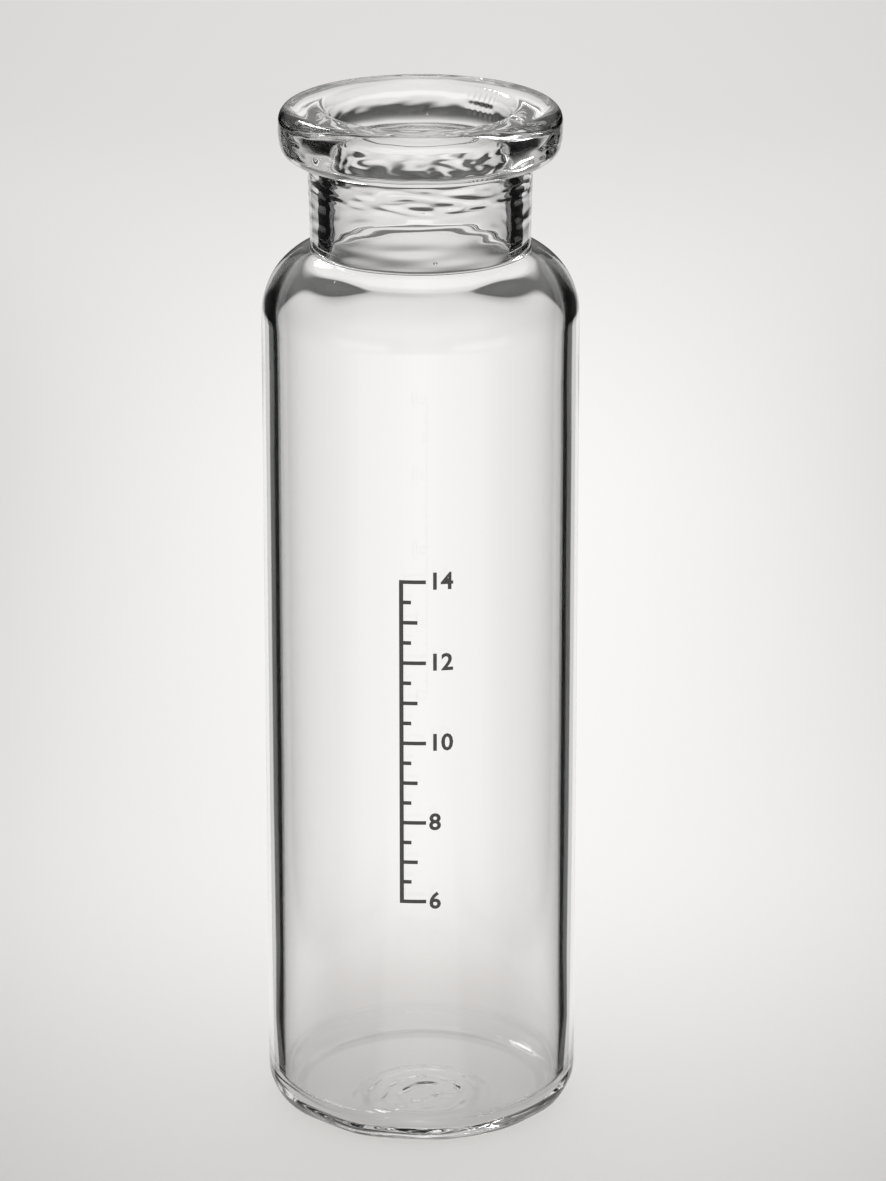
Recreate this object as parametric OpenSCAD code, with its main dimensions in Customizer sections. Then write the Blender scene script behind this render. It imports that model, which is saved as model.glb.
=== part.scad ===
// Open glass sample vial with a rolled flange for a crimp cap.
// One piece of glass. The origin is the centre of the base, on the surface the vial
// stands on. +Z runs up the axis. Lengths are in millimetres.

/* [Body] */
// Overall height, from the standing ring to the top of the lip
height = 75.5; // [70:0.1:80]
// Outside diameter of the straight body
body_d = 22.75; // [22.2:0.05:23.2]
// Glass thickness of the body
wall = 1.12; // [0.9:0.02:1.6]
// Outside radius of the heel, where the body turns into the base
heel_r = 2.4; // [1.8:0.1:3.2]
// Outside radius of the shoulder
shoulder_r = 5.2; // [4.8:0.1:6]
// Inside radius of the shoulder
shoulder_in_r = 5.2; // [4.6:0.1:5.6]
// Height by which the shoulder starts to turn lower inside than outside
shoulder_drop = 0.3; // [0:0.05:0.6]
// Slope of the funnel between the shoulder's inside and the throat, in degrees
funnel_slope = 33.5; // [31:0.5:37]

/* [Neck] */
// Length of the neck between the flange and the shoulder
neck_l = 6.6; // [5:0.1:9]
// Outside diameter of the neck under the flange
neck_top_d = 16; // [15.6:0.05:16.4]
// Outside diameter of the neck where it meets the shoulder
neck_low_d = 15.7; // [15.4:0.05:16]
// Diameter of the opening through the neck
mouth_d = 12.8; // [12.4:0.05:13.1]
// Radius inside the throat, where the neck opens into the body
throat_r = 0.4; // [0.2:0.05:0.8]
// Radius of the hollow corner between the neck and the shoulder
neck_fillet_r = 0.2; // [0.1:0.05:0.6]

/* [Flange] */
// Outside diameter of the flange that the cap is crimped around
flange_d = 20.15; // [19.7:0.05:20.5]
// Height of the flange
flange_h = 3.65; // [3.2:0.05:4.2]
// Radius of the flange's upper outer edge
flange_top_r = 1; // [0.5:0.05:1.3]
// Radius of the flange's lower outer edge
flange_low_r = 0.75; // [0.3:0.05:1]
// Radius of the lip's inner edge, around the mouth
lip_r = 0.9; // [0.4:0.05:1.2]
// Radius of the hollow corner under the flange
flange_fillet_r = 0.4; // [0.2:0.05:0.6]

/* [Base] */
// Glass thickness of the floor at its rim
floor_t = 1.2; // [0.9:0.05:1.8]
// Inside radius between the wall and the floor
inner_heel_r = 1.7; // [1.2:0.1:2.4]
// Height by which the middle of the inner floor stands above its rim
floor_rise = 0.3; // [0.1:0.05:0.5]
// Diameter of the shallow hollow under the base
punt_d = 10.4; // [8:0.2:13]
// Depth of the shallow hollow under the base
punt_h = 0.35; // [0.1:0.05:0.6]

/* [Hidden] */
$fn = 144;
glass = [0.86, 0.90, 0.89, 0.35];

body_r = body_d/2;
bore_r = body_r - wall;
mouth_r = mouth_d/2;
flange_r = flange_d/2;
flange_z = height - flange_h;                 // underside of the flange
neck_foot = [neck_low_d/2, flange_z - neck_l];  // where the neck's side meets the shoulder
neck_head = [neck_top_d/2, flange_z];
neck_run = unit(neck_head - neck_foot);       // up along the neck's side
neck_out = [neck_run.y, -neck_run.x];         // square to it, outwards

overlap = 0.0002;  // an arc reaches this far past the lines it touches, so that it crosses them

// Centres of the shoulder's arcs, outside and inside
shoulder = [body_r - shoulder_r,
            fine(neck_foot.y - sqrt(shoulder_r^2 - (neck_foot.x - body_r + shoulder_r)^2))];
shoulder_in = [bore_r - shoulder_in_r, shoulder.y - shoulder_drop];

// Centre of the hollow corner between the neck and the shoulder
foot_gap = neck_foot + neck_fillet_r*neck_out - shoulder;
foot_run = foot_gap*neck_run;
foot_fillet = fine(neck_foot + neck_fillet_r*neck_out
    + (sqrt(foot_run^2 - foot_gap*foot_gap + (shoulder_r + neck_fillet_r)^2) - foot_run)*neck_run);

// Centre of the hollow corner under the flange
head_fillet = fine(neck_head + flange_fillet_r*neck_out
    - flange_fillet_r*(1 + neck_out.y)/neck_run.y*neck_run);

// Where those two corners leave the neck's side
foot_touch = fine(foot_fillet - neck_fillet_r*neck_out);
head_touch = fine(head_fillet - flange_fillet_r*neck_out);

// The funnel, from the shoulder's inside arc up to the throat's edge
funnel_out = [sin(funnel_slope), cos(funnel_slope)];  // square to it, into the glass
funnel_up = [-cos(funnel_slope), sin(funnel_slope)];
funnel_foot = fine(shoulder_in + (shoulder_in_r - overlap)*funnel_out);
funnel_l = (funnel_foot.x - mouth_r - throat_r*(1 - funnel_out.x))/-funnel_up.x;
funnel_head = fine(funnel_foot + funnel_l*funnel_up);

// Centre of the throat's edge
throat = [mouth_r + throat_r, fine(funnel_head.y + throat_r*funnel_out.y)];

// Where the hollow corner at the neck's foot touches the shoulder's arc
shoulder_touch = fine(shoulder + shoulder_r*unit(foot_fillet - shoulder));

dome_lap = 0.05;   // the floor's dome reaches this far past the flat's edge, onto the inner heel

function unit(v) = v/norm(v);
function fine(v) = is_num(v) ? round(v*10000)/10000 : [for (c = v) fine(c)];
// Radius of a circle through the rim and the crown of a shallow dome
function dome_r(half_width, rise) = (half_width^2 + rise^2)/(2*rise);

// A rectangle between two opposite corners
module box2(a, b) translate(a) square(b - a);

// A whole disc
module disc(centre, r) translate(centre) circle(r);

// A quarter disc: side.x and side.y are 1 or -1, and choose the quarter
module quarter(centre, r, side) intersection() {
    disc(centre, r);
    translate(centre + [min(side.x, 0)*r, min(side.y, 0)*r]) square(r);
}

module body_half() {
    box2([0, 0], [body_r - heel_r, heel_r]);
    quarter([body_r - heel_r, heel_r], heel_r, [1, -1]);
    box2([0, heel_r], [body_r, shoulder.y]);
    box2([0, shoulder.y], [shoulder.x, shoulder.y + shoulder_r]);
    quarter(shoulder, shoulder_r, [1, 1]);
}

module neck_half() {
    polygon([[0, shoulder.y], [shoulder_touch.x, shoulder.y], shoulder_touch, foot_touch,
             head_touch, [head_fillet.x, flange_z], [0, flange_z]]);
}

module flange_half() {
    box2([0, flange_z], [flange_r - flange_low_r, flange_z + flange_low_r]);
    quarter([flange_r - flange_low_r, flange_z + flange_low_r], flange_low_r, [1, -1]);
    box2([0, flange_z + flange_low_r], [flange_r, height - flange_top_r]);
    box2([0, height - flange_top_r], [flange_r - flange_top_r, height]);
    quarter([flange_r - flange_top_r, height - flange_top_r], flange_top_r, [1, 1]);
}

module outside_half() difference() {
    union() {
        body_half();
        neck_half();
        flange_half();
    }
    disc(foot_fillet, neck_fillet_r + overlap);
    disc(head_fillet, flange_fillet_r + overlap);
}

// The space inside the vial
module inside_half() {
    floor_edge = [bore_r - inner_heel_r, floor_t + inner_heel_r];
    rise_r = dome_r(floor_edge.x + dome_lap, floor_rise);
    difference() {
        union() {
            box2([0, floor_t], [floor_edge.x, floor_edge.y]);
            quarter(floor_edge, inner_heel_r, [1, -1]);
            box2([0, floor_edge.y], [bore_r, shoulder_in.y]);
            quarter(shoulder_in, shoulder_in_r, [1, 1]);
            polygon([[0, shoulder_in.y], [funnel_foot.x, shoulder_in.y], funnel_foot,
                     funnel_head, [mouth_r, throat.y], [mouth_r, height - lip_r],
                     [mouth_r + lip_r, height], [0, height]]);
        }
        disc(throat, throat_r + overlap);
        disc([mouth_r + lip_r, height - lip_r], lip_r + overlap);
        disc([0, floor_t + floor_rise - rise_r], rise_r);
    }
}

// The shallow hollow under the base
module punt_half() {
    punt_r = dome_r(punt_d/2, punt_h);
    intersection() {
        disc([0, punt_h - punt_r], punt_r);
        box2([0, -punt_h], [punt_d, punt_h]);
    }
}

module vial() color(glass) rotate_extrude() difference() {
    outside_half();
    inside_half();
    punt_half();
}

vial();
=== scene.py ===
"""Looks of the glass sample vial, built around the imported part.

Sizes of the vial and its print are in millimetres until their meshes are made. Everything else
is in metres."""
import math

import bmesh
import bpy
import numpy as np
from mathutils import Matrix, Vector


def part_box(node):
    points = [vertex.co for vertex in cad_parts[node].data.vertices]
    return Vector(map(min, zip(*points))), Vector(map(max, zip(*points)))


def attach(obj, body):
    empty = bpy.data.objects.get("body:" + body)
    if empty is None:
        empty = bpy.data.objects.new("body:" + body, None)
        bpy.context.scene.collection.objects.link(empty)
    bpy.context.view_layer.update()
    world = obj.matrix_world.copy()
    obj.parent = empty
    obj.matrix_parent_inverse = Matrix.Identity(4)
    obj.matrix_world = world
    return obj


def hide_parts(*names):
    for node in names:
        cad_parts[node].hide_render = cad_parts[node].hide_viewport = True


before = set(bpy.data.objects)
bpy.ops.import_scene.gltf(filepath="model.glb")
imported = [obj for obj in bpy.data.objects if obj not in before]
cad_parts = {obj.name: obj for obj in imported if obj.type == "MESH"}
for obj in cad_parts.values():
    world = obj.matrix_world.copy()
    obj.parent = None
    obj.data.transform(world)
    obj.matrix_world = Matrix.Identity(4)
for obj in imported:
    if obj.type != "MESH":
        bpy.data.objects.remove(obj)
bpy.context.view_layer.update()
LOW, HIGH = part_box("vial")

MM = 0.001
HEIGHT = (HIGH.z - LOW.z) / MM
RADIUS = min(HIGH.x - LOW.x, HIGH.y - LOW.y) / 2 / MM

# The main view: where its camera stands, in degrees, with azimuth 0 at -Y, and the directions
# away from it, to its right, up, and towards it
MAIN_AZ, MAIN_EL = 225.0, 19.0
MAIN_TURN, MAIN_RISE = math.radians(MAIN_AZ), math.radians(MAIN_EL)
AWAY = Vector((-math.sin(MAIN_TURN), math.cos(MAIN_TURN), 0))
RIGHT = Vector((math.cos(MAIN_TURN), math.sin(MAIN_TURN), 0))
UP = Vector((0, 0, 1))
FRONT = math.radians(MAIN_AZ - 90)   # the same as an angle from +X
TOWARDS = (math.cos(FRONT), math.sin(FRONT))

# Sizes of the vial in millimetres, as in the part's source
WALL = 1.12
HEEL_R, INNER_HEEL_R = 2.4, 1.7
SHOULDER_R = 5.2
NECK_L, NECK_TOP_R, NECK_LOW_R = 6.6, 8.0, 7.85
MOUTH_R, THROAT_R, LIP_R = 6.4, 0.4, 0.9
NECK_FILLET_R, FLANGE_FILLET_R = 0.2, 0.4
FLANGE_R, FLANGE_H = 10.075, 3.65
FLOOR_T, FLOOR_RISE = 1.2, 0.3
PUNT_R, PUNT_H = 5.2, 0.35

# The flange is softer here than in the part's source: the radii of its outer edges, and of its
# bulging side, whose widest ring lies SIDE_Z below the top
FLANGE_TOP_R, FLANGE_LOW_R = 1.06, 1.1
SIDE_R, SIDE_Z = 5.3, 1.6

# Inside of the shoulder, at the back and at the front of the main view: radius, drop of its
# centre below the outside's, and angle of the funnel's normal. Beside the front it is tighter.
INNER_BACK, INNER_FRONT, INNER_SIDE = (5.2, 0.3, 56.5), (4.4, 0.25, 56.0), (4.1, 0.25, 56.0)
SIDE_TURN, SIDE_SPREAD = math.radians(48), math.radians(19)   # where INNER_SIDE lies, from the front

# Vertices round the vial, how many of them are spent on the ripples at the lip, and how far
# these reach to either side of the ripples' middle, in radians
COLUMNS, FINE_COLUMNS, FINE_REACH = 234, 34, 0.3

# Parts of the section, from the middle of the base round to the middle of the floor
(BASE, BODY, SHOULDER, NECK, FLANGE, LIP, MOUTH, THROAT, INNER_SHOULDER, BORE,
 FLOOR) = range(11)

# Unevenness of the flame-worked glass. Each row: the part it is on, its depth in mm, a seed,
# the least and most waves round the vial, the least and greatest wave length along the section
# in mm, and the height in mm above which it lies.
UNEVEN = [
    (NECK, 0.014, 21, (2, 20), (0.5, 1.1), 69.6),
    (NECK, 0.006, 34, (1, 9), (0.7, 1.6), 0),
    (NECK, 0.008, 22, (2, 6), (3, 7), 0),
    (FLANGE, 0.006, 3, (1, 7), (2.5, 7), 0),
    (FLANGE, 0.003, 8, (6, 26), (1.0, 2.4), 0),
    (FLANGE, 0.0015, 37, (10, 34), (0.6, 1.4), 0),
    (LIP, 0.012, 24, (3, 12), (1.5, 4), 0),
    (MOUTH, 0.005, 25, (4, 22), (0.6, 1.4), 69.8),
    (MOUTH, 0.001, 35, (0, 3), (0.7, 1.8), 0),
    (MOUTH, 0.004, 26, (2, 8), (2.5, 7), 0),
    (THROAT, 0.003, 27, (1, 5), (3, 8), 0),
    (INNER_SHOULDER, 0.002, 28, (2, 9), (2, 6), 0),
    (BORE, 0.0015, 29, (1, 4), (5, 12), 0),
    (FLOOR, 0.004, 30, (0, 3), (1.5, 3), 0),
    (FLOOR, 0.004, 31, (1, 4), (3, 8), 0),
    (BASE, 0.018, 32, (0, 4), (0.8, 2.0), 0),
    (BASE, 0.045, 33, (3, 12), (3, 7), 0),
]
WAVE_COUNT = 9     # waves that a row of UNEVEN adds up
BLEND = 0.5        # length over which one part's unevenness runs into the next part's
ABOVE_FADE = 0.6   # height over which a row sets in, where it has a lowest height
TOP_FADE = 0.5     # height over which it dies out towards the top, on the flange and in the mouth
# At the heel and the hollow's rim, PUNT_EDGE wide, it sets in FOOT_GAP above the floor, over a
# height of FOOT_FADE, and dies out towards the body's side over FOOT_SIDE_FADE
PUNT_EDGE, FOOT_GAP, FOOT_FADE, FOOT_SIDE_FADE = 0.6, 0.05, 0.25, 0.3

# A patch of ripples at the back of the lip: its turn from the front in degrees, its height, its
# depth, its half width and half height, and the length of its ripples across and up
RIPPLE_TURN, RIPPLE_Z, RIPPLE_DEPTH = 137.0, 74.4, 0.045
RIPPLE_HALF_W, RIPPLE_HALF_H = 1.3, 0.95
RIPPLE_ACROSS, RIPPLE_UP = 0.5, 0.8
RIPPLE_RIM = 0.5   # how far out on the lip it may reach

# The hollow under the base: its radius, its height, and its middle, towards the main camera
HOLLOW_R, HOLLOW_H = 5.3, 0.27
HOLLOW_AT = (3.1 * TOWARDS[0], 3.1 * TOWARDS[1])
HOLLOW_OVAL = 0.3   # how far it is out of round
# Its swirl: depth, distance between rings, and the radius and half width of the band they fill
SWIRL_DEPTH, SWIRL_STEP, SWIRL_R, SWIRL_HALF = 0.026, 1.3, 3.3, 1.5
LUMP_DEPTH, LUMP_R = 0.045, 3.2   # its lumps: depth, and how far out they reach

# Bubbles in the glass: place to the camera's right, towards it and up, and half sizes, in mm
BUBBLES = [((1.0, 7.1, 65.95), (0.15, 0.12, 0.12)), ((0.5, -6.9, 73.2), (0.09, 0.09, 0.09)),
           ((-5.9, 6.6, 64.3), (0.10, 0.10, 0.10)), ((1.9, 3.4, 0.75), (0.48, 0.10, 0.08))]

# Printed scale: its ends and the step of its numbers in mL. In mm, how far it stands off the
# glass, the middle and half width of its upright line, the half height of its ticks, and their
# lengths at a number, at any other mL and between. Then the size of its numbers and their left
# end in mm, and what is added to their strokes, as a share of the size.
FIRST_ML, LAST_ML, NUMBER_STEP = 6, 14, 2
SCALE_TURN = 2.0   # degrees from the main camera's direction, to its right
INK_GAP = 0.012
LINE_X, LINE_HALF, TICK_HALF = -1.8, 0.15, 0.14
NUMBER_TICK, FULL_TICK, HALF_TICK = 1.75, 1.15, 0.7
TEXT_SIZE, TEXT_X, TEXT_WEIGHT = 1.75, 0.15, 0.026
PRINT_CUTS = np.arange(-1.6, 2.3, 0.4)   # where the flat print is cut, so that it can bend
CORNER_SHARE = 0.22   # the glass in a rounded corner is centred this share of its radius inwards

# Pale panels that the glass shows, each opposite a camera: azimuth of the camera, lowest and
# highest elevation, half width, softness of the sides, of the top and of the bottom, level.
# A lowest elevation of -90 means that it has no lower edge.
PANELS = [(MAIN_AZ, -90, -11.5, 26.5, 1.5, 1.8, 2, 1.0),
          (45, -31.5, -11, 28, 4, 2, 2, 0.8), (45, -23, -12, 62, 16, 2, 3, 0.8),
          (0, -9.5, 4, 22, 3, 2, 2, 0.9), (90, -9.5, 4, 22, 3, 2, 2, 0.9)]
PANEL_DIM, PANEL_MOST = -0.55, 0.965    # how it dims towards its sides, and its level at most
PANEL_STEEP, PANEL_SPREAD = 0.36, 1.3   # sine of the elevation where it starts to widen, and how fast

# Smooth steps of elevation, each from, to, and the levels there. First what the panels are
# multiplied by, then the room: behind the vial, on the camera's side, and all round.
LIT_STEPS = [(-17, -13, 1.0, 0.80), (-28, -22, 0.84, 1.0)]
ROOM_BEHIND, ROOM_FRONT = (-10, 16, 0.085, 0.80), (-36, -50, 0.03, 0.13)
ROOM_LOW, ROOM_OVERHEAD, ROOM_BELOW = (-28, -20, 0.03, 0.006), (1, 26, 0.0, 0.55), (-50, -62, 0.0, 0.54)
# Where the room behind ends to its sides, in degrees, and how it and the camera's side set in,
# by the share of a level direction that points away from the camera
BEHIND_SIDES, BEHIND_AHEAD, FRONT_AHEAD = (8, 24), (0.0, 0.3), (0.1, -0.4)
BACKDROP_LEVEL, ROOM_TINT = 0.9, (1, 0.99, 0.98, 1)

# Smooth steps of distance on the floor in metres, each from, to, and the values there unless
# they are 0 and 1, for a pool of light painted into the floor's colour: its tone in front of the
# vial and behind it, how that dims further back, and how a bright strip along the view falls off
# to its sides, nearer and further back
PAINTED_POOL_NEAR, PAINTED_POOL_FAR = (-0.05, 0.05, 0.65, 0.935), (0.13, 0.31, 1.0, 0.765)
STRIP_MIDDLE, STRIP_HALF, STRIP_FALL = 0.004, 0.085, (0.13, 0.28, -1.0, -0.12)
# the darkest that the painted pool of light gets, and the floor's own tint
LEAST_TONE, FLOOR_TINT = 0.6, (1.005, 0.993, 0.988)
OPEN_FLOOR, OPEN_TONE = (0.42, 1.5), 0.99   # where it turns into the backdrop, and its tone there
# The patch of floor that the glass sees: its level, a glow of painted light that is dimmer
# under and in front of the vial as a painted shadow, its colour, and its edges
PATCH_GLOW_AND_SHADOW, PATCH_TINT = (-0.012, 0.045, 0.45, 0.88), (1, 0.97, 0.95, 1)
PATCH_SIDE, PATCH_BACK, PATCH_FRONT = (0.007, 0.016), (0.018, 0.056), (-0.008, -0.013)
FLOOR_HALF, FLOOR_GAP = 3.0, 0.00002        # half its width, and how far it lies under the vial


def arc(centre, r, start, end, steps):
    """Points on an arc, its first point left out. Angles in degrees."""
    turn = np.radians(np.linspace(start, end, steps + 1)[1:])
    return [(centre[0] + r * math.cos(a), centre[1] + r * math.sin(a)) for a in turn]


def line(a, b, steps):
    """Points on a line, its first point left out."""
    return [(a[0] + (b[0] - a[0]) * t, a[1] + (b[1] - a[1]) * t)
            for t in np.linspace(0, 1, steps + 1)[1:]]


def angle(centre, p):
    """Direction from centre to p, in degrees."""
    return math.degrees(math.atan2(p[1] - centre[1], p[0] - centre[0]))


def dome_r(half_width, rise):
    """Radius of a circle through the rim and the crown of a shallow dome."""
    return (half_width ** 2 + rise ** 2) / (2 * rise)


def profile(inner_shoulder):
    """The vial's half section in mm, for one form of the shoulder's inside: rows of radius,
    height and part number, from the middle of the base, out and up the outside, over the lip
    and down the bore to the middle of the floor."""
    bore_r = RADIUS - WALL
    flange_z = HEIGHT - FLANGE_H
    foot = np.array([NECK_LOW_R, flange_z - NECK_L])
    head = np.array([NECK_TOP_R, flange_z])
    run = (head - foot) / np.linalg.norm(head - foot)
    out = np.array([run[1], -run[0]])
    sh_x = RADIUS - SHOULDER_R
    shoulder = np.array([sh_x, foot[1] - math.sqrt(SHOULDER_R ** 2 - (foot[0] - sh_x) ** 2)])
    gap = foot + NECK_FILLET_R * out - shoulder
    along = gap @ run
    foot_fillet = foot + NECK_FILLET_R * out + run * (
        math.sqrt(along ** 2 - gap @ gap + (SHOULDER_R + NECK_FILLET_R) ** 2) - along)
    head_fillet = head + FLANGE_FILLET_R * out - run * FLANGE_FILLET_R * (1 + out[1]) / run[1]
    sh_end = angle(shoulder, foot_fillet)
    foot_touch = foot_fillet - NECK_FILLET_R * out
    head_touch = head_fillet - FLANGE_FILLET_R * out

    in_r, drop, cone = inner_shoulder
    inner = np.array([bore_r - in_r, shoulder[1] - drop])
    tilt = math.radians(cone)
    cone_out = np.array([math.cos(tilt), math.sin(tilt)])
    cone_up = np.array([-math.sin(tilt), math.cos(tilt)])
    cone_foot = inner + in_r * cone_out
    reach = (cone_foot[0] - MOUTH_R) / math.sin(tilt) - THROAT_R * math.tan(tilt / 2)
    cone_head = cone_foot + reach * cone_up
    throat = cone_head + THROAT_R * cone_out

    rows = []

    def add(part, points):
        rows.extend((r, z, part) for r, z in points)

    # Outside. The last number of each arc and line is how many steps it has.
    punt = dome_r(PUNT_R, PUNT_H)
    punt_c = (0, PUNT_H - punt)
    rows.append((0.0, PUNT_H, BASE))
    add(BASE, arc(punt_c, punt, 90, angle(punt_c, (PUNT_R, 0)), 18))
    add(BASE, line((PUNT_R, 0), (RADIUS - HEEL_R, 0), 22))
    add(BASE, arc((RADIUS - HEEL_R, HEEL_R), HEEL_R, -90, 0, 24))
    add(BODY, line((RADIUS, HEEL_R), (RADIUS, shoulder[1]), 6))
    add(SHOULDER, arc(shoulder, SHOULDER_R, 0, sh_end, 26))
    add(NECK, arc(foot_fillet, NECK_FILLET_R, sh_end - 180,
                  angle(foot_fillet, foot_touch) - 360, 8))
    add(NECK, line(foot_touch, head_touch, 60))
    add(NECK, arc(head_fillet, FLANGE_FILLET_R, angle(head_fillet, head_touch), 90, 8))
    bulge = (FLANGE_R - SIDE_R, HEIGHT - SIDE_Z)
    low_z = flange_z + FLANGE_LOW_R
    low = (bulge[0] + math.sqrt((SIDE_R - FLANGE_LOW_R) ** 2 - (bulge[1] - low_z) ** 2), low_z)
    low_end = angle(bulge, low)
    top = (FLANGE_R - FLANGE_TOP_R, HEIGHT - FLANGE_TOP_R)
    add(FLANGE, line((head_fillet[0], flange_z), (low[0], flange_z), 5))
    add(FLANGE, arc(low, FLANGE_LOW_R, -90, low_end, 12))
    add(FLANGE, arc(bulge, SIDE_R, low_end, 0, 14))
    add(FLANGE, line((FLANGE_R, bulge[1]), (FLANGE_R, top[1]), 2))
    add(FLANGE, arc(top, FLANGE_TOP_R, 0, 90, 14))
    add(LIP, line((top[0], HEIGHT), (MOUTH_R + LIP_R, HEIGHT), 8))
    add(LIP, arc((MOUTH_R + LIP_R, HEIGHT - LIP_R), LIP_R, 90, 180, 12))
    # Inside
    add(MOUTH, line((MOUTH_R, HEIGHT - LIP_R), (MOUTH_R, throat[1]), 70))
    add(THROAT, arc(throat, THROAT_R, 180, 180 + cone, 10))
    add(INNER_SHOULDER, line(cone_head, cone_foot, 10))
    add(INNER_SHOULDER, arc(inner, in_r, cone, 0, 24))
    add(BORE, line((bore_r, inner[1]), (bore_r, FLOOR_T + INNER_HEEL_R), 14))
    edge = (bore_r - INNER_HEEL_R, FLOOR_T + INNER_HEEL_R)
    rise = dome_r(edge[0], FLOOR_RISE)
    rise_c = (0, FLOOR_T + FLOOR_RISE - rise)
    add(FLOOR, arc(edge, INNER_HEEL_R, 0, -90, 16))
    add(FLOOR, arc(rise_c, rise, angle(rise_c, (edge[0], FLOOR_T)), 90, 20))
    return np.array(rows)


def waves(seed, turns, lengths):
    """A sum of waves round and along the vial's skin, mostly between -1 and 1, as a function of
    the angle and the distance along the section."""
    rng = np.random.default_rng(seed)
    m = rng.integers(turns[0], turns[1] + 1, WAVE_COUNT)
    k = 2 * math.pi / rng.uniform(lengths[0], lengths[1], WAVE_COUNT)
    k = k * rng.choice([-1, 1], WAVE_COUNT)
    phase = rng.uniform(0, 2 * math.pi, WAVE_COUNT)
    weight = rng.uniform(0.5, 1.0, WAVE_COUNT)
    weight /= np.sqrt((weight ** 2).sum())

    def value(a, s):
        return sum(w * np.sin(mi * a + ki * s + p) for w, mi, ki, p in zip(weight, m, k, phase))
    return value


def hollow(x, y):
    """Height in mm of the glass above the floor inside the standing ring: a shallow hollow, a
    little off the middle, with the swirl and lumps that the hot tool left in it."""
    u, w = x - HOLLOW_AT[0], y - HOLLOW_AT[1]
    d = np.hypot(u, w) + HOLLOW_OVAL * np.sin(2 * np.arctan2(w, u) + 0.8)
    dome = HOLLOW_H * (1 - (d / HOLLOW_R) ** 2)
    rings = np.cos(2 * math.pi * d / SWIRL_STEP) * np.exp(-((d - SWIRL_R) / SWIRL_HALF) ** 2)
    # Two crossing waves, 2.5 and 3.3 mm long
    lumps = np.sin(2.1 * x + 1.3 * y) * np.sin(1.7 * y - 0.9 * x + 1)
    lumps = lumps * np.exp(-(d / LUMP_R) ** 2)
    return np.maximum(dome + SWIRL_DEPTH * rings + LUMP_DEPTH * lumps, 0.0)


def column_turns():
    """Angles of the mesh's columns: even round the vial, and closer together at the ripples."""
    middle = (FRONT + math.radians(RIPPLE_TURN)) % (2 * math.pi)
    return np.sort(np.concatenate([
        np.linspace(0, 2 * math.pi, COLUMNS - FINE_COLUMNS, endpoint=False),
        np.linspace(middle - FINE_REACH, middle + FINE_REACH, FINE_COLUMNS)]))


def ripples(a, r, z, part):
    """The ripples at the back of the lip, in mm, for columns at the angles a."""
    across = (a - FRONT - math.radians(RIPPLE_TURN) + math.pi) % (2 * math.pi) - math.pi
    across = across * MOUTH_R
    up = z[:, None] - RIPPLE_Z
    patch = np.exp(-(across / RIPPLE_HALF_W) ** 4 - (up / RIPPLE_HALF_H) ** 4)
    # Upright ripples that lean a little, crossed by weaker level ones
    wave = (np.sin(2 * math.pi * across / RIPPLE_ACROSS + 1.2 * up)
            + 0.7 * np.sin(2 * math.pi * up / RIPPLE_UP))
    inside = (part == MOUTH) | ((part == LIP) & (r < MOUTH_R + RIPPLE_RIM))
    return RIPPLE_DEPTH * inside[:, None] * patch * wave


def unevenness(a, along, r, z, part):
    """How far in mm each point of the skin is pushed square to it. The outer side of the body,
    the standing ring and the vial's full height stay as they are."""
    reach = np.exp(-((along[:, None] - along[None, :]) / BLEND) ** 2)
    reach /= reach.sum(1)[:, None]
    push = np.zeros((len(r), COLUMNS))
    for where, depth, seed, turns, lengths, above in UNEVEN:
        share = reach @ (part == where).astype(float)
        share = share * np.clip((z - above) / ABOVE_FADE + 0.5, 0, 1)
        wave = waves(seed, turns, lengths)(a, along[:, None])
        push += depth * share[:, None] * (wave - (wave.max() if where == LIP else 0.0))
    push += ripples(a, r, z, part)
    hold = np.where(part == BODY, 0.0, 1.0)
    foot = (part == BASE) & (r > PUNT_R - PUNT_EDGE)
    hold[foot] = (np.clip((z[foot] - FOOT_GAP) / FOOT_FADE, 0, 1)
                  * np.clip((RADIUS - r[foot]) / FOOT_SIDE_FADE, 0, 1))
    near_top = (part == FLANGE) | (part == MOUTH)
    hold[near_top] = np.clip((HEIGHT - z[near_top]) / TOP_FADE, 0, 1)
    return push * hold[:, None]


def surface(rows_back, rows_front, rows_side):
    """Points of the vial's skin, ring by ring: the section turned round the axis, with the
    slight unevenness that flame work leaves in it. Gives radius, height and the angles."""
    r, z, part = rows_back.T
    step = np.hypot(np.gradient(r), np.gradient(z))
    tr, tz = np.gradient(r) / step, np.gradient(z) / step
    along = np.concatenate([[0], np.cumsum(np.hypot(np.diff(r), np.diff(z)))])
    turn = column_turns()
    a = turn[None, :]
    push = unevenness(a, along, r, z, part)
    front = 0.5 + 0.5 * np.cos(a - FRONT)
    beside = np.exp(-((np.arccos(2 * front - 1) - SIDE_TURN) / SIDE_SPREAD) ** 2)
    radius, level = (
        back[:, None] + (fore - back)[:, None] * front + (aside - fore)[:, None] * beside
        for back, fore, aside in zip((r, z), rows_front.T, rows_side.T))
    radius = radius + push * tz[:, None]
    level = level - push * tr[:, None]
    slack = 0.01   # so that the outermost ring of the flat counts
    under = ((part == BASE) & (r < RADIUS - HEEL_R + slack))[:, None]
    level = np.where(under, hollow(radius * np.cos(a), radius * np.sin(a)), level)
    return radius, level, turn


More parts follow.
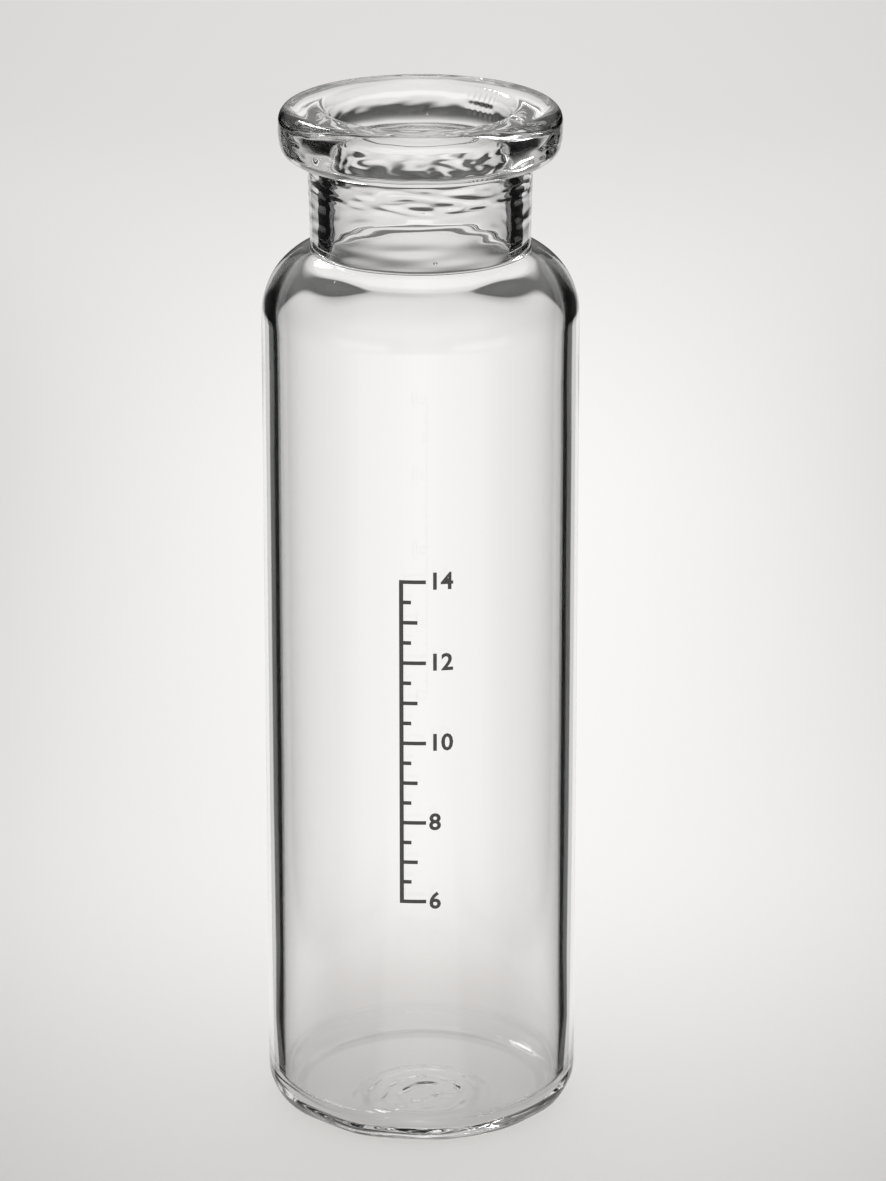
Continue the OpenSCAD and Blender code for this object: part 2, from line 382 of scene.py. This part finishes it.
def add_bubble(points, faces, place, half, around=12, rings=8):
    """A closed ball of air, whose faces look inwards, out of the glass."""
    right = np.array([-TOWARDS[1], TOWARDS[0], 0.0])
    towards = np.array([TOWARDS[0], TOWARDS[1], 0.0])
    centre = place[0] * right + place[1] * towards + np.array([0, 0, place[2]])
    first = len(points)
    points.append(tuple(centre + np.array([0, 0, half[2]])))
    for k in range(1, rings):
        polar = math.pi * k / rings
        for c in range(around):
            a = 2 * math.pi * c / around
            offset = (half[0] * math.sin(polar) * math.cos(a) * right
                      + half[1] * math.sin(polar) * math.sin(a) * towards)
            points.append(tuple(centre + offset + np.array([0, 0, half[2] * math.cos(polar)])))
    points.append(tuple(centre - np.array([0, 0, half[2]])))
    last = len(points) - 1
    for c in range(around):
        n = (c + 1) % around
        faces.append((first, first + 1 + n, first + 1 + c))
        for k in range(rings - 2):
            low, high = first + 1 + k * around, first + 1 + (k + 1) * around
            faces.append((low + c, low + n, high + n, high + c))
        high = first + 1 + (rings - 2) * around
        faces.append((high + c, high + n, last))


def link(name, data):
    """An object of its own in the scene."""
    made = bpy.data.objects.new(name, data)
    bpy.context.scene.collection.objects.link(made)
    return made


def lathe(name, rows, rows_front, rows_side):
    """A closed mesh turned from rows of radius and height, whose first and last row are on the
    axis, with the bubbles in it."""
    radius, level, turn = surface(rows, rows_front, rows_side)
    points = [(0.0, 0.0, rows[0][1])]
    for k in range(1, len(rows) - 1):
        points += [(radius[k, c] * math.cos(a), radius[k, c] * math.sin(a), level[k, c])
                   for c, a in enumerate(turn)]
    points.append((0.0, 0.0, rows[-1][1]))
    last = len(points) - 1
    rings = len(rows) - 2
    faces = []
    for c in range(COLUMNS):
        n = (c + 1) % COLUMNS
        faces.append((0, 1 + n, 1 + c))
        for k in range(rings - 1):
            a, b = 1 + k * COLUMNS, 1 + (k + 1) * COLUMNS
            faces.append((a + c, a + n, b + n, b + c))
        a = 1 + (rings - 1) * COLUMNS
        faces.append((a + c, a + n, last))
    for bubble in BUBBLES:
        add_bubble(points, faces, *bubble)
    mesh = bpy.data.meshes.new(name)
    mesh.from_pydata([tuple(x * MM for x in p) for p in points], [], faces)
    mesh.polygons.foreach_set("use_smooth", [True] * len(mesh.polygons))
    mesh.update()
    return link(name, mesh)


class Nodes:
    """Short calls for making and linking shader nodes."""

    def __init__(self, owner):
        owner.use_nodes = True
        self.tree = owner.node_tree
        self.tree.nodes.clear()

    def add(self, kind, inputs=None, **settings):
        node = self.tree.nodes.new(kind)
        for key, value in settings.items():
            setattr(node, key, value)
        for key, value in (inputs or {}).items():
            self.put(node.inputs[key], value)
        return node

    def put(self, socket, value):
        if isinstance(value, bpy.types.NodeSocket):
            self.tree.links.new(value, socket)
        else:
            socket.default_value = value

    def math(self, operation, a, b=0.0, c=0.0):
        node = self.add("ShaderNodeMath", operation=operation)
        for i, value in enumerate((a, b, c)):
            self.put(node.inputs[i], value)
        return node.outputs[0]

    def times(self, first, *others):
        """The product of all of them."""
        for other in others:
            first = self.math("MULTIPLY", first, other)
        return first

    def largest(self, first, *others):
        """The greatest of all of them."""
        for other in others:
            first = self.math("MAXIMUM", first, other)
        return first

    def dot(self, a, b):
        node = self.add("ShaderNodeVectorMath", {0: a, 1: b}, operation="DOT_PRODUCT")
        return node.outputs["Value"]

    def step(self, value, start, end, low=0.0, high=1.0):
        """value from start to end as a smooth step from low to high."""
        node = self.add("ShaderNodeMapRange", interpolation_type="SMOOTHSTEP", clamp=True)
        for i, v in enumerate((value, start, end, low, high)):
            self.put(node.inputs[i], v)
        return node.outputs[0]

    def mix(self, factor, a, b):
        return self.add("ShaderNodeMix", {0: factor, 2: a, 3: b}).outputs[0]

    def mix_shaders(self, factor, a, b):
        return self.add("ShaderNodeMixShader", {0: factor, 1: a.outputs[0], 2: b.outputs[0]})

    def tint(self, tone, factors):
        """A grey of that tone, with its red, green and blue each times a factor."""
        return self.add("ShaderNodeCombineColor", {
            i: self.times(tone, factor) for i, factor in enumerate(factors)}).outputs[0]

    def output(self, shader, kind="ShaderNodeOutputMaterial"):
        self.add(kind, {"Surface": shader.outputs[0]})


def glass_material():
    """Clear glass. Shadow rays and diffuse rays pass straight through it, a little dimmed."""
    mat = bpy.data.materials.new("clear_glass")
    n = Nodes(mat)
    path = n.add("ShaderNodeLightPath").outputs
    glass = n.add("ShaderNodeBsdfPrincipled", {
        "Base Color": (1, 1, 1, 1), "Roughness": 0.0, "IOR": 1.5, "Transmission Weight": 1.0})
    clear = n.add("ShaderNodeBsdfTransparent", {"Color": (0.93, 0.93, 0.925, 1)})
    light = n.largest(path["Is Shadow Ray"], path["Is Diffuse Ray"])
    n.output(n.mix_shaders(light, glass, clear))
    return mat


def ink_material():
    """Dark grey print with a faint speckle."""
    mat = bpy.data.materials.new("screen_print")
    n = Nodes(mat)
    spot = n.add("ShaderNodeTexCoord").outputs["Object"]
    speck = n.add("ShaderNodeTexNoise", {"Vector": spot, "Scale": 9000.0, "Detail": 2.0}).outputs[0]
    tone = n.step(speck, 0.3, 0.7, 0.075, 0.10)
    n.output(n.add("ShaderNodeBsdfPrincipled", {
        "Base Color": n.tint(tone, (1.0, 1.0, 0.93)), "Roughness": 0.55, "IOR": 1.4}))
    return mat


def bar(flat, x0, x1, y0, y1):
    """A filled rectangle in the flat drawing of the print, in mm."""
    k = len(flat[0])
    flat[0].extend([(x0, y0, 0), (x1, y0, 0), (x1, y1, 0), (x0, y1, 0)])
    flat[1].append((k, k + 1, k + 2, k + 3))


def words(flat, text, size, x, y):
    """Text in the flat drawing, its left end and middle line at (x, y), in mm."""
    curve = bpy.data.curves.new("words", "FONT")
    curve.body, curve.size, curve.resolution_u = text, size, 3
    curve.offset = size * TEXT_WEIGHT
    curve.align_y = "CENTER"
    temp = link("words", curve)
    mesh = temp.evaluated_get(bpy.context.evaluated_depsgraph_get()).to_mesh()
    k = len(flat[0])
    flat[0].extend((x + v.co.x, y + v.co.y, 0) for v in mesh.vertices)
    flat[1].extend(tuple(k + i for i in p.vertices) for p in mesh.polygons)
    bpy.data.objects.remove(temp)
    bpy.data.curves.remove(curve)


def level_of(volume):
    """Height in mm that so many mL reach, with the floor's rise and rounded corner taken off."""
    bore_r = RADIUS - WALL
    corner_r = bore_r - INNER_HEEL_R * CORNER_SHARE
    corner = 2 * math.pi * corner_r * INNER_HEEL_R ** 2 * (1 - math.pi / 4)
    dome = math.pi * (bore_r - INNER_HEEL_R) ** 2 * FLOOR_RISE / 2
    return FLOOR_T + (volume * 1000 + corner + dome) / (math.pi * bore_r ** 2)


def scale_print():
    """A plain graduated scale, bent round the body: a long tick and a number at every second
    mL, and two lengths of shorter ticks between them."""
    flat = ([], [])
    for half_ml in range(FIRST_ML * 2, LAST_ML * 2 + 1):
        level = level_of(half_ml / 2)
        numbered = half_ml % (2 * NUMBER_STEP) == 0
        length = NUMBER_TICK if numbered else HALF_TICK if half_ml % 2 else FULL_TICK
        bar(flat, LINE_X, LINE_X + length, level - TICK_HALF, level + TICK_HALF)
        if numbered:
            words(flat, str(half_ml // 2), TEXT_SIZE, TEXT_X, level)
    bar(flat, LINE_X - LINE_HALF, LINE_X + LINE_HALF,
        level_of(FIRST_ML) - TICK_HALF, level_of(LAST_ML) + TICK_HALF)
    mesh = bpy.data.meshes.new("print_scale")
    mesh.from_pydata(flat[0], [], flat[1])
    work = bmesh.new()
    work.from_mesh(mesh)
    for x in PRINT_CUTS:
        bmesh.ops.bisect_plane(work, geom=work.verts[:] + work.edges[:] + work.faces[:],
                               plane_co=(x, 0, 0), plane_no=(1, 0, 0))
    middle = math.radians(MAIN_AZ + SCALE_TURN) - math.pi / 2
    skin = RADIUS + INK_GAP
    for v in work.verts:
        a = middle + v.co.x / skin
        v.co = Vector((skin * math.cos(a), skin * math.sin(a), v.co.y)) * MM
    bmesh.ops.recalc_face_normals(work, faces=work.faces[:])
    work.to_mesh(mesh)
    work.free()
    mesh.materials.append(ink_material())
    return link("print_scale", mesh)


def floor_material():
    """Pale floor with a pool of light painted into its colour: darker in front of the vial than behind
    it, brightest in a strip along the view, and far out the same as the backdrop. Rays from the
    glass see only a patch of it under and behind the vial, which glows, with a painted shadow at
    the vial, and through the rest the panels below."""
    mat = bpy.data.materials.new("pale_floor")
    n = Nodes(mat)
    path = n.add("ShaderNodeLightPath").outputs
    spot = n.add("ShaderNodeTexCoord").outputs["Object"]
    far = n.dot(spot, AWAY)
    side = n.dot(spot, RIGHT)
    distance = n.add("ShaderNodeVectorMath", {0: spot}, operation="LENGTH").outputs["Value"]
    # Painted pool of light: the floor's colour is darker in front of the vial and far back, and
    # brightest in a strip along the view
    tone = n.times(n.step(far, *PAINTED_POOL_NEAR), n.step(far, *PAINTED_POOL_FAR))
    reach = n.math("DIVIDE", n.math("SUBTRACT", side, STRIP_MIDDLE), STRIP_HALF)
    fall = n.times(reach, reach, n.step(far, *STRIP_FALL))
    tone = n.largest(n.times(tone, n.math("EXPONENT", fall)), LEAST_TONE)
    tone = n.mix(n.step(distance, *OPEN_FLOOR), tone, OPEN_TONE)
    diffuse = n.add("ShaderNodeBsdfDiffuse", {"Color": n.tint(tone, FLOOR_TINT)})
    # Painted light: the patch glows instead of being lit, and is dimmer at the vial as a painted shadow
    patch = n.add("ShaderNodeEmission", {
        "Color": PATCH_TINT, "Strength": n.step(far, *PATCH_GLOW_AND_SHADOW)})
    aside = n.step(n.math("ABSOLUTE", side), *PATCH_SIDE)
    beyond = n.largest(n.step(far, *PATCH_BACK), n.step(far, *PATCH_FRONT))
    see_through = n.add("ShaderNodeBsdfTransparent")
    through_glass = n.mix_shaders(n.largest(aside, beyond), patch, see_through)
    glassy = n.largest(path["Is Transmission Ray"], path["Is Glossy Ray"])
    n.output(n.mix_shaders(glassy, diffuse, through_glass))
    return mat


def build_floor():
    """A square that lies just under the vial, so that their faces don't meet."""
    mesh = bpy.data.meshes.new("floor")
    corners = [(-1, -1), (1, -1), (1, 1), (-1, 1)]
    mesh.from_pydata([(x * FLOOR_HALF, y * FLOOR_HALF, 0) for x, y in corners], [], [(0, 1, 2, 3)])
    mesh.materials.append(floor_material())
    floor = link("floor", mesh)
    floor.location.z = LOW.z - FLOOR_GAP


def sin_deg(a):
    return math.sin(math.radians(a))


class Sky:
    """Directions as the world's shader sees them, and the levels that depend on them."""

    def __init__(self, n):
        self.n = n
        way = n.add("ShaderNodeTexCoord").outputs["Generated"]
        x, y, self.up = n.add("ShaderNodeSeparateXYZ", {0: way}).outputs
        level_way = n.add("ShaderNodeCombineXYZ", {0: x, 1: y}).outputs[0]
        self.flat = n.add("ShaderNodeVectorMath", {0: level_way}, operation="NORMALIZE").outputs[0]

    def climb(self, start, end, low=0.0, high=1.0):
        """A level that goes from low to high between two elevations."""
        return self.n.step(self.up, sin_deg(start), sin_deg(end), low, high)

    def panel(self, azimuth, low, high, half, soft, soft_up, soft_down, level):
        """A pale panel opposite a camera at that azimuth, between two elevations. It is wider
        low down and high up, and dims towards its sides."""
        n = self.n
        a = math.radians(azimuth)
        aside = n.math("ABSOLUTE", n.dot(self.flat, (math.cos(a), math.sin(a), 0)))
        ahead = n.math("GREATER_THAN", n.dot(self.flat, (-math.sin(a), math.cos(a), 0)), 0.0)
        steepness = n.math("SUBTRACT", n.math("ABSOLUTE", self.up), PANEL_STEEP)
        aside_in = n.math("SUBTRACT", aside, n.times(n.largest(steepness, 0.0), PANEL_SPREAD))
        width = n.step(aside_in, sin_deg(half - soft), sin_deg(half + soft), 1.0, 0.0)
        dim = n.math("MINIMUM", n.math("MULTIPLY_ADD", aside, PANEL_DIM, 1.0), PANEL_MOST)
        shown = n.times(width, ahead, dim, self.climb(high - soft_up, high + soft_up, level, 0.0))
        if low > -90:
            shown = n.times(shown, self.climb(low - soft_down, low + soft_down))
        return shown

    def room(self):
        """Straight behind the vial dim low down and paler higher up, black at its sides, dim on
        the camera's side low down, pale overhead and straight below."""
        n = self.n
        aside = n.dot(self.flat, RIGHT)
        ahead = n.dot(self.flat, AWAY)
        start, end = (sin_deg(a) for a in BEHIND_SIDES)
        narrow = n.step(n.math("ABSOLUTE", aside), start, end, 1.0, 0.0)
        behind = n.times(narrow, n.step(ahead, *BEHIND_AHEAD), self.climb(*ROOM_BEHIND))
        front = n.times(n.step(ahead, *FRONT_AHEAD), self.climb(*ROOM_FRONT))
        all_round = n.math("ADD", self.climb(*ROOM_LOW), self.climb(*ROOM_OVERHEAD))
        return n.largest(behind, front, all_round, self.climb(*ROOM_BELOW))


def build_world():
    """The camera and the floor see a plain pale backdrop. The glass shows the panels, brightest
    at the height of the body, in the darker room around them."""
    world = bpy.data.worlds.new("studio")
    bpy.context.scene.world = world
    n = Nodes(world)
    path = n.add("ShaderNodeLightPath").outputs
    sky = Sky(n)
    lit = n.largest(0.0, *(sky.panel(*row) for row in PANELS))
    lit = n.times(lit, *(sky.climb(*row) for row in LIT_STEPS))
    glow = n.largest(lit, sky.room())
    plain = n.largest(path["Is Camera Ray"], path["Is Diffuse Ray"])
    back = n.add("ShaderNodeBackground", {
        "Color": ROOM_TINT, "Strength": n.mix(plain, glow, BACKDROP_LEVEL)})
    n.output(back, "ShaderNodeOutputWorld")


def facing(way):
    """The turn of a lamp or camera that looks that way."""
    return way.to_track_quat("-Z", "Y").to_euler()


def lamp(name, place, size, energy):
    """A round lamp that shines straight down."""
    light = bpy.data.lights.new(name, "AREA")
    light.shape, light.size, light.energy = "DISK", size, energy
    made = link(name, light)
    made.location = place
    return made


def build_lamps():
    """A lamp that makes a pool of light on the floor, which the floor's colour also paints in, and a
    soft box behind the vial and to the left, that only the glass reflects."""
    pool_behind, pool_up = 0.25, 0.5
    pool = lamp("pool", pool_behind * AWAY + pool_up * UP, size=0.25, energy=0.45)
    pool.visible_glossy = pool.visible_transmission = False
    az, el, distance = math.radians(22), math.radians(42), 0.45
    level_way = math.cos(az) * AWAY - math.sin(az) * RIGHT
    place = distance * (math.cos(el) * level_way + math.sin(el) * UP)
    box = lamp("soft_box", place, size=0.09, energy=0.24)
    box.rotation_euler = facing(-box.location)
    box.visible_diffuse = False


def build_camera():
    """The camera of the photo, fitted to the vial's outline."""
    aim_z, distance, pan = 0.0393, 0.402, 0.0016
    lens = bpy.data.cameras.new("camera")
    lens.lens, lens.sensor_width = 168.8, 36.0
    lens.clip_start, lens.clip_end = 0.01, 20.0
    camera = link("camera", lens)
    aim = aim_z * UP
    camera.location = aim + distance * (math.sin(MAIN_RISE) * UP - math.cos(MAIN_RISE) * AWAY)
    camera.rotation_euler = facing(aim + pan * RIGHT - camera.location)
    bpy.context.scene.camera = camera


vial = lathe("vial_glass", profile(INNER_BACK), profile(INNER_FRONT), profile(INNER_SIDE))
vial.data.materials.append(glass_material())
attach(vial, "root")
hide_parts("vial")

print_scale = scale_print()
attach(print_scale, "root")

build_floor()
build_world()
build_lamps()
build_camera()

# Light crosses many faces inside the glass
THROUGH_BOUNCES, MIRROR_BOUNCES = 24, 16
scene = bpy.context.scene
scene.view_settings.view_transform = "Standard"
scene.cycles.max_bounces = scene.cycles.transmission_bounces = THROUGH_BOUNCES
scene.cycles.glossy_bounces = MIRROR_BOUNCES
